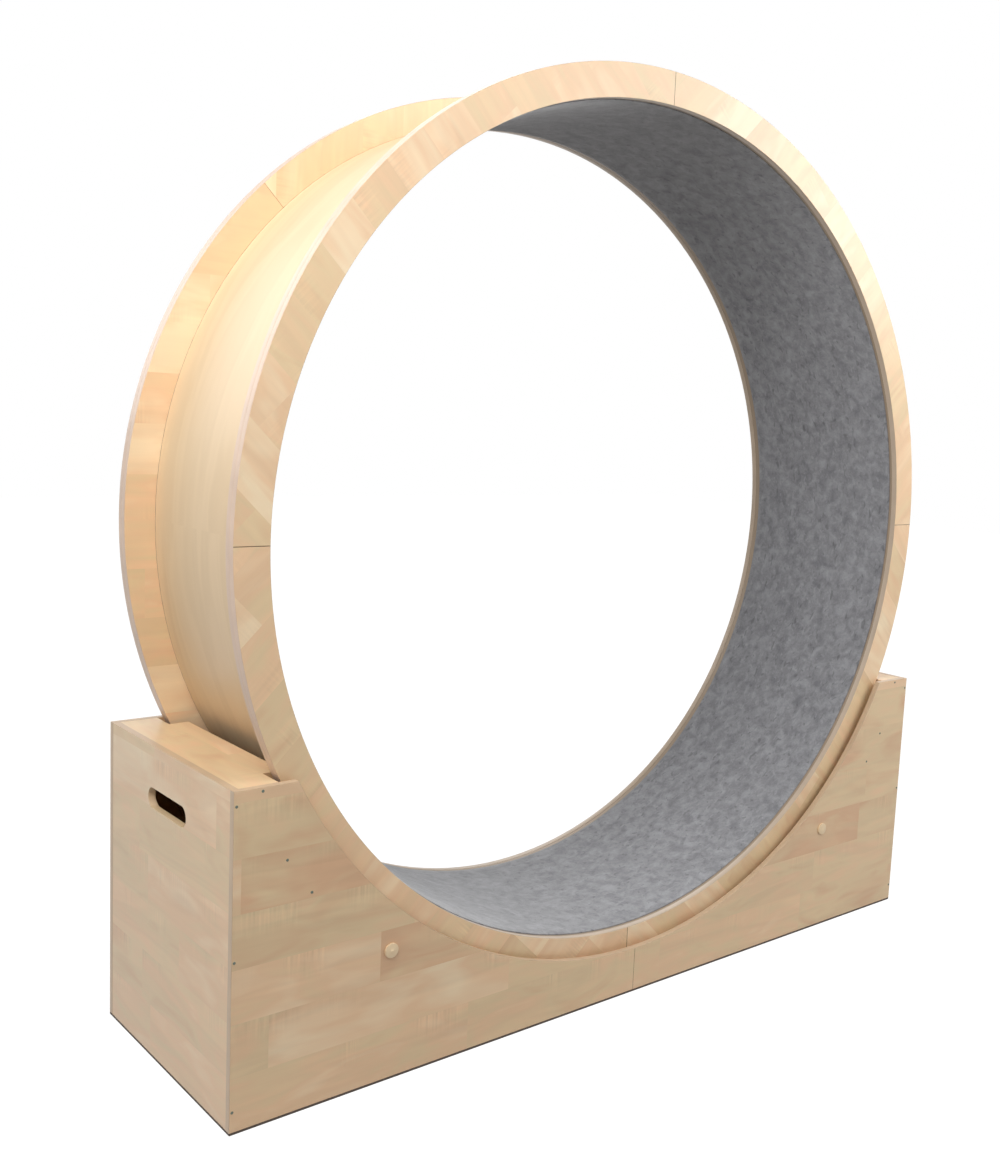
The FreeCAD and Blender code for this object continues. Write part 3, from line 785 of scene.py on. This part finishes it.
class BoardFinishes(CatWheelOperator, bpy.types.Operator):
    """Give the rims, the drum, the panels and the boards of the base their wood"""

    bl_idname = "cat_wheel.board_finishes"
    bl_label = "Finish the boards"

    def execute(self, context):
        boards = context.scene.cat_wheel_boards
        sides = ("left", "right")
        # The rims' lifts are painted light: the front rim a little paler, the rear rim paler still.
        for end, seed, lift in (("front", 7.0, FRONT_RIM_PAINTED_LIGHT), ("rear", 11.0, REAR_RIM_PAINTED_LIGHT)):
            face = beech_staves_cut_in_quarters(
                f"beech_staves_lacquered_{end}_rim_face", boards, 0.0, seed, lift
            )
            backing = beech_staves_cut_in_quarters(
                f"beech_staves_lacquered_{end}_rim_backing", boards, math.pi / 4, seed + 5, lift, HAIRLINE_JOINT
            )
            for corner in ("upper_right", "upper_left", "lower_left", "lower_right"):
                finish_nodes(face, f"{end}_rim_face_{corner}")
            for place in ("top", "left", "bottom", "right"):
                finish_nodes(backing, f"{end}_rim_backing_{place}")
            # The panels' lift is painted shade, which makes them darker.
            panel = beech_staves_lacquered(
                f"beech_staves_lacquered_{end}_panels", boards, (0, 2, 1), seed + 20, PANEL_LOW.z,
                HAIRLINE_JOINT, PANEL_PAINTED_SHADE,
            )
            finish_nodes(panel, *(f"{end}_panel_{side}" for side in sides))
        ends = beech_staves_lacquered("beech_staves_lacquered_ends", boards, (1, 2, 0), 41.0, PANEL_LOW.z)
        finish_nodes(ends, *(f"{side}_end_panel" for side in sides))
        tops = beech_staves_lacquered("beech_staves_lacquered_tops", boards, (1, 0, 2), 52.0, 0.012)
        finish_nodes(tops, *(f"{side}_top_board" for side in sides))
        # The drum's two inside colours are painted shade, the rear one darker.
        drum = birch_plywood_bent(
            "birch_plywood_bent_lacquered",
            pale=linear("#E8CFAB"),
            deep=linear("#DBC19C"),
            inside_painted_shade=linear("#A08C76"),
            rear_painted_shade=linear("#8C6C50"),
        )
        finish_nodes(drum, "drum_panel_left", "drum_panel_right")
        batten = beech_batten_planed("beech_batten_planed", linear("#DDBB92"), linear("#C79F75"))
        finish_nodes(
            batten, "left_cross_rail", "right_cross_rail", "front_splice_cleat", "rear_splice_cleat"
        )
        return {"FINISHED"}


class RunningGearFinishes(CatWheelOperator, bpy.types.Operator):
    """Give the rollers, shafts, bushes, caps and floor strips their plastics, steel and rubber"""

    bl_idname = "cat_wheel.running_gear_finishes"
    bl_label = "Finish the running gear"

    def execute(self, context):
        # Cast polyurethane: dark, even and dull where the rims have run on it.
        tread = speckled("polyurethane_cast_tread", linear("#3B3D40"), 0.55, 3 * MM)
        finish_nodes(tread, "left_rollers", "right_rollers")
        # Bright steel, turned on a lathe: fine rings, drawn 0.8 mm apart so that they show.
        steel = speckled("steel_turned_bright", linear("#B9BBBD"), 0.3, 6 * MM, 0.05, 1.0, 0.8 * MM)
        finish_nodes(steel, "left_roller_shaft", "right_roller_shaft")
        # Natural nylon, turned from rod: milky and smooth.
        nylon = speckled("nylon_turned_natural", linear("#E4DFD2"), 0.42, 5 * MM, 0.04)
        finish_nodes(nylon, "shaft_bushes")
        # Polypropylene moulded in the colour of the boards: satin, with the faintest mould texture.
        plastic = speckled("polypropylene_moulded_beech_tone", linear("#E6CDA8"), 0.38, 1.2 * MM, 0.03)
        finish_nodes(plastic, "cover_caps")
        # Extruded rubber strip: dark brown and dull.
        rubber = speckled("rubber_extruded_strip", linear("#54483F"), 0.8, 2 * MM)
        finish_nodes(rubber, "floor_strips")
        return {"FINISHED"}


class FeltLining(CatWheelOperator, bpy.types.Operator):
    """Lay the felt running surface inside the drum"""

    bl_idname = "cat_wheel.felt_lining"
    bl_label = "Lay the felt"

    def execute(self, context):
        felt = context.scene.cat_wheel_felt
        outer = FELT_HIGH.x
        pile = outer - INNER_FELT
        front, rear = FELT_LOW.y, FELT_HIGH.y
        half_gap = felt.seam / 2 / outer
        vertices, faces = [], []
        shares = [i / felt.across for i in range(felt.across + 1)]
        count = len(shares) + 2
        for i in range(felt.around + 1):
            angle = math.pi + half_gap + (math.tau - 2 * half_gap) * i / felt.around
            ray = Vector((math.cos(angle), 0, math.sin(angle)))
            on_edge = ray * outer * 14
            low = front + felt.wander * (0.5 + 0.5 * noise.noise(on_edge))
            high = rear - felt.wander * (0.5 + 0.5 * noise.noise(on_edge + Vector((9, 9, 9))))
            row = []
            for share in shares:
                y = low + (high - low) * share
                reach = min(y - low, high - y)
                rounding = max(0.0, 1 - reach / (1.2 * pile))
                spot = Vector((ray.x * outer, y, ray.z * outer))
                hollow = felt.nap * (0.5 + 0.5 * noise.noise(spot * 150)) + 0.45 * pile * rounding**2
                row.append(Vector((0, y, AXIS_HEIGHT)) + ray * (INNER_FELT + hollow))
            row.append(Vector((0, high, AXIS_HEIGHT)) + ray * outer)
            row.append(Vector((0, low, AXIS_HEIGHT)) + ray * outer)
            vertices.extend(row)
        for i in range(felt.around):
            here, there = i * count, (i + 1) * count
            for j in range(count):
                k = (j + 1) % count
                faces.append((here + j, here + k, there + k, there + j))
        faces.append(tuple(range(count)))
        faces.append(tuple(range(felt.around * count, (felt.around + 1) * count)))
        material = polyester_felt_pressed("polyester_felt_pressed_grey", felt)
        sheet = new_piece("felt_running_surface", vertices, faces, material, "wheel")
        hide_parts("felt_lining")
        return {"FINISHED"}


class RimBands(CatWheelOperator, bpy.types.Operator):
    """Iron edge bands onto the outer edges of the rim boards and into the rims' bores"""

    bl_idname = "cat_wheel.rim_bands"
    bl_label = "Band the rims"

    def execute(self, context):
        band = context.scene.cat_wheel_bands
        material = melamine_band_ironed("melamine_band_ironed_rims", band.rim_colour)
        layer = QUARTER_HIGH.y - QUARTER_LOW.y
        section = band_section(layer - 0.3 * MM, band)
        bore_section = band_section(layer - 0.3 * MM, band, BORE_FACETS)
        face = (QUARTER_LOW.y + QUARTER_HIGH.y) / 2
        backing = (BACKING_LOW.y + BACKING_HIGH.y) / 2
        # Painted shade: the bore bands are darker than the outer bands.
        bore = melamine_band_ironed("melamine_band_ironed_shaded_bores", band.bore_shade_tone)
        runs = {
            "face": (RIM_RADIUS, face, 1, material, section),
            "backing": (RIM_RADIUS, backing, 1, material, section),
            "bore": (RIM_BORE, face, -1, bore, bore_section),
        }
        for name, (radius, y, outward, finish, shape) in runs.items():
            for end, side in (("front", 1), ("rear", -1)):
                vertices, faces = swept(circle_path(radius, y * side, 256, outward), shape, True)
                new_piece(f"rim_band_{end}_{name}", vertices, faces, finish, "wheel")
        return {"FINISHED"}


class BaseBands(CatWheelOperator, bpy.types.Operator):
    """Iron edge bands onto the panels and top boards of the base"""

    bl_idname = "cat_wheel.base_bands"
    bl_label = "Band the base"

    def execute(self, context):
        band = context.scene.cat_wheel_bands
        # Painted shade: the base bands are darker to cancel the light on the arc's upward-facing edge.
        material = melamine_band_ironed("melamine_band_ironed_shaded_base", band.base_shade_tone)
        section = band_section(BOARD, band)
        arc_section = band_section(BOARD, band, ARC_FACETS)
        top = PANEL_HIGH.z
        for end, y in (("front", (PANEL_LOW.y + PANEL_HIGH.y) / 2), ("rear", -(PANEL_LOW.y + PANEL_HIGH.y) / 2)):
            for side, sign in (("left", -1), ("right", 1)):
                runs = {
                    "arc": arc_stops(sign, y),
                    "top": straight_stops(
                        Vector((sign * ARC_END_X, y, top)), Vector((sign * END_X, y, top)), Vector((0, 0, 1)),
                        Vector((0, 1, 0)),
                    ),
                    "end": straight_stops(
                        Vector((sign * END_X, y, top)), Vector((sign * END_X, y, PANEL_LOW.z)),
                        Vector((sign, 0, 0)), Vector((0, 1, 0)),
                    ),
                }
                for run, path in runs.items():
                    vertices, faces = swept(path, arc_section if run == "arc" else section, False)
                    new_piece(
                        f"panel_band_{end}_{side}_{run}", vertices, faces, material, "base"
                    )
        for side, sign in (("left", -1), ("right", 1)):
            x = sign * abs(END_LOW.x + END_HIGH.x) / 2
            path = straight_stops(
                Vector((x, END_LOW.y, top)), Vector((x, END_HIGH.y, top)), Vector((0, 0, 1)), Vector((1, 0, 0))
            )
            vertices, faces = swept(path, section, False)
            new_piece(f"end_band_{side}", vertices, faces, material, "base")
        return {"FINISHED"}


def straight_stops(start, end, outward, across, steps=6):
    """Stops along a straight edge."""
    return [(start.lerp(end, i / steps), across, outward) for i in range(steps + 1)]


def arc_stops(sign, y, steps=72):
    """Stops along one half of a long panel's arc, from the middle joint up to its top edge."""
    path = []
    for i in range(steps + 1):
        lean = ARC_LEAN * i / steps
        ray = Vector((sign * math.sin(lean), 0, -math.cos(lean)))
        path.append((Vector((0, y, ARC_HEIGHT)) + ray * ARC_RADIUS, Vector((0, 1, 0)), -ray))
    return path


# Screws of one half of a long panel: distance from the middle and height above its lower edge, in mm.
SCREW_PLACES = ((600.0, 23.5), (600.0, 195.0), (600.0, 368.6), (570.0, 381.0), (539.5, 298.0), (508.5, 254.5))


class PanelScrews(CatWheelOperator, bpy.types.Operator):
    """Drive the small countersunk screws of the long panels"""

    bl_idname = "cat_wheel.panel_screws"
    bl_label = "Drive the screws"

    def execute(self, context):
        screws = context.scene.cat_wheel_screws
        # Zinc-plated steel: dull metal with a greenish cast.
        material = speckled("steel_zinc_plated_pressed", screws.colour, 0.45, 1.0 * MM, 0.12, 1.0)
        rings = []
        arm, half = screws.recess / 2, screws.slot / 2
        for depth, scale in ((-0.1 * MM, 1.0), (screws.rise * 0.55, 1.0), (screws.rise, 0.86)):
            radius = screws.head / 2 * scale
            rings.append([(radius * math.cos(t), radius * math.sin(t), depth) for t in HEAD_ANGLES])
        reach = math.hypot(arm, half)
        for depth, scale in ((screws.rise, 1.0), (screws.rise * 0.15, 0.85)):
            ring = []
            for k, t in enumerate(HEAD_ANGLES):
                inner = k % 3 == 1
                radius = half * math.sqrt(2) if inner else reach
                quarter, part = divmod(k, 3)
                lean = math.atan2(half, arm)
                angle = quarter * math.pi / 2 + (lean, math.pi / 4, math.pi / 2 - lean)[part]
                ring.append((radius * scale * math.cos(angle), radius * scale * math.sin(angle), depth))
            rings.append(ring)
        count = len(HEAD_ANGLES)
        head_faces = []
        for i in range(len(rings) - 1):
            for j in range(count):
                k = (j + 1) % count
                head_faces.append((i * count + j, i * count + k, (i + 1) * count + k, (i + 1) * count + j))
        head_faces.append(tuple(range((len(rings) - 1) * count, len(rings) * count)))
        head_faces.append(tuple(range(count)))
        for end, y, turn in (("front", PANEL_LOW.y, math.pi / 2), ("rear", -PANEL_LOW.y, -math.pi / 2)):
            vertices, faces = [], []
            for sign in (-1, 1):
                for n, (x, height) in enumerate(SCREW_PLACES):
                    spin = Matrix.Rotation(0.7 * n + sign, 4, "Z")
                    stand = Matrix.Rotation(turn, 4, "X")
                    place = Vector((sign * x * MM, y, PANEL_LOW.z + height * MM))
                    first = len(vertices)
                    for ring in rings:
                        for point in ring:
                            vertices.append(stand @ spin @ Vector(point) + place)
                    faces.extend(tuple(first + v for v in face) for face in head_faces)
            new_piece(f"panel_screws_{end}", vertices, faces, material, "base")
        return {"FINISHED"}


HEAD_ANGLES = [math.radians(a) for q in range(4) for a in (90 * q + 15, 90 * q + 45, 90 * q + 75)]


class Stage(CatWheelOperator, bpy.types.Operator):
    """Set the pale floor, the soft lamps and the camera"""

    bl_idname = "cat_wheel.stage"
    bl_label = "Set the stage"

    def execute(self, context):
        stage = context.scene.cat_wheel_stage
        scene = context.scene
        scene.view_settings.view_transform = "Standard"
        self.floor(stage)
        self.room(scene, stage)
        for name, place, aim, size, power, tint in LAMPS:
            lamp = bpy.data.lights.new(name, "AREA")
            lamp.shape = "RECTANGLE"
            lamp.size, lamp.size_y = size
            lamp.energy = power
            lamp.color = linear(tint)
            holder = bpy.data.objects.new(name, lamp)
            holder.location = place
            holder.rotation_euler = (Vector(aim) - Vector(place)).to_track_quat("-Z", "Y").to_euler()
            holder.visible_camera = False
            scene.collection.objects.link(holder)
        lens = bpy.data.cameras.new("camera")
        lens.lens = stage.lens
        lens.sensor_width = 36
        lens.shift_x, lens.shift_y = stage.shift
        lens.clip_end = 50
        camera = bpy.data.objects.new("camera", lens)
        place, target = Vector(stage.camera_place), Vector(stage.camera_target)
        back = (place - target).normalized()
        right = (-back).cross(Vector((0, 0, 1))).normalized()
        up = right.cross(-back)
        roll = stage.camera_roll
        across = right * math.cos(roll) + up * math.sin(roll)
        above = up * math.cos(roll) - right * math.sin(roll)
        turn = Matrix((across, above, back)).transposed().to_4x4()
        camera.matrix_world = Matrix.Translation(place) @ turn
        scene.collection.objects.link(camera)
        scene.camera = camera
        return {"FINISHED"}

    def floor(self, stage):
        """A wide pale floor: plain white to the camera, with the object's shadow on it."""
        half = 8.0
        mesh = bpy.data.meshes.new("studio_floor")
        corners = [(-half, -half, 0), (half, -half, 0), (half, half, 0), (-half, half, 0)]
        mesh.from_pydata(corners, [], [(0, 1, 2, 3)])
        floor = bpy.data.objects.new("studio_floor", mesh)
        bpy.context.scene.collection.objects.link(floor)
        material, tree = new_material("studio_paper_matt_white")
        seen = seen_plainly(tree)
        share = add(tree, "ShaderNodeMath", {0: seen, 1: stage.floor_glow}, operation="MULTIPLY").outputs[0]
        # Under the base the floor lies in the dark, so that nothing glows through the gaps of the base.
        parts = object_point(tree)[1]
        beyond_end, beyond_side = (
            add(
                tree,
                "ShaderNodeMath",
                {0: add(tree, "ShaderNodeMath", {0: parts[axis]}, operation="ABSOLUTE").outputs[0], 1: reach},
                operation="GREATER_THAN",
            ).outputs[0]
            for axis, reach in ((0, END_X), (1, -PANEL_LOW.y))
        )
        clear = add(tree, "ShaderNodeMath", {0: beyond_end, 1: beyond_side}, operation="MAXIMUM").outputs[0]
        share = add(tree, "ShaderNodeMath", {0: share, 1: clear}, operation="MULTIPLY").outputs[0]
        matt = add(tree, "ShaderNodeBsdfDiffuse", {"Color": (0.46, 0.45, 0.44, 1)})
        glow = add(tree, "ShaderNodeEmission", {"Color": (1, 1, 1, 1), "Strength": 1.2})
        mixed = add(tree, "ShaderNodeMixShader", {0: share, 1: matt.outputs[0], 2: glow.outputs[0]})
        output(tree, mixed)
        mesh.materials.append(material)

    def room(self, scene, stage):
        """Even light from the room, which the camera and the gloss see as white."""
        world = bpy.data.worlds.new("studio_room")
        world.use_nodes = True
        tree = world.node_tree
        tree.nodes.clear()
        seen = seen_plainly(tree)
        strength = add(tree, "ShaderNodeMapRange", {0: seen, 3: stage.sky, 4: 1.0}).outputs[0]
        sky = add(tree, "ShaderNodeBackground", {"Color": (1, 1, 1, 1), "Strength": strength})
        add(tree, "ShaderNodeOutputWorld", {"Surface": sky.outputs[0]})
        scene.world = world


# Name, place, aim, size across and up, power in watts and tint of each lamp.
LAMPS = (
    ("lamp_left", (-1.2, -0.6, 1.7), (0.0, 0.0, 0.9), (0.8, 0.8), 16.0, "#FFFFFF"),
    ("lamp_left_wide", (-2.6, -0.7, 1.9), (0.0, 0.0, 0.6), (1.8, 1.8), 11.0, "#FFFFFF"),
    ("lamp_over", (-0.6, -0.3, 1.8), (-0.4, 0.0, 0.6), (0.8, 0.8), 3.2, "#FFFFFF"),
    ("lamp_right", (1.1, -0.6, 1.4), (0.0, 0.0, 0.9), (0.8, 0.8), 7.0, "#FFFFFF"),
    ("lamp_right_low", (1.6, -1.6, 1.2), (0.4, 0.0, 0.5), (0.8, 0.8), 8.5, "#FFFFFF"),
    ("lamp_sheen", (1.15, -1.45, 1.8), (0.05, -0.16, 1.2), (1.1, 0.6), 7.0, "#FFFFFF"),
    ("lamp_behind_right", (1.4, 2.3, 1.8), (0.0, 0.0, 0.9), (1.4, 1.4), 12.0, "#FFFFFF"),
    ("lamp_behind_left", (-1.2, 2.4, 1.7), (0.0, 0.0, 0.8), (1.4, 1.4), 10.0, "#FFFFFF"),
)


class CatWheelPanel(bpy.types.Panel):
    """Lists the steps that dress the wheel"""

    bl_idname = "VIEW3D_PT_cat_wheel"
    bl_label = "Cat wheel"
    bl_space_type = "VIEW_3D"
    bl_region_type = "UI"
    bl_category = "Cat wheel"

    def draw(self, context):
        for step in STEPS:
            self.layout.operator(step.bl_idname)


STEPS = (BoardFinishes, RunningGearFinishes, FeltLining, RimBands, BaseBands, PanelScrews, Stage)
SETTINGS = {
    "cat_wheel_boards": BoardSettings,
    "cat_wheel_bands": BandSettings,
    "cat_wheel_felt": FeltSettings,
    "cat_wheel_screws": ScrewSettings,
    "cat_wheel_stage": StageSettings,
}


def register():
    for group in (*SETTINGS.values(), *STEPS, CatWheelPanel):
        bpy.utils.register_class(group)
    for name, group in SETTINGS.items():
        setattr(bpy.types.Scene, name, PointerProperty(type=group))


def unregister():
    for name in SETTINGS:
        delattr(bpy.types.Scene, name)
    for group in reversed((*SETTINGS.values(), *STEPS, CatWheelPanel)):
        bpy.utils.unregister_class(group)


def main():
    """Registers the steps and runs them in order."""
    register()
    bpy.ops.cat_wheel.board_finishes()
    bpy.ops.cat_wheel.running_gear_finishes()
    bpy.ops.cat_wheel.felt_lining()
    bpy.ops.cat_wheel.rim_bands()
    bpy.ops.cat_wheel.base_bands()
    bpy.ops.cat_wheel.panel_screws()
    bpy.ops.cat_wheel.stage()


if __name__ == "__main__":
    main()
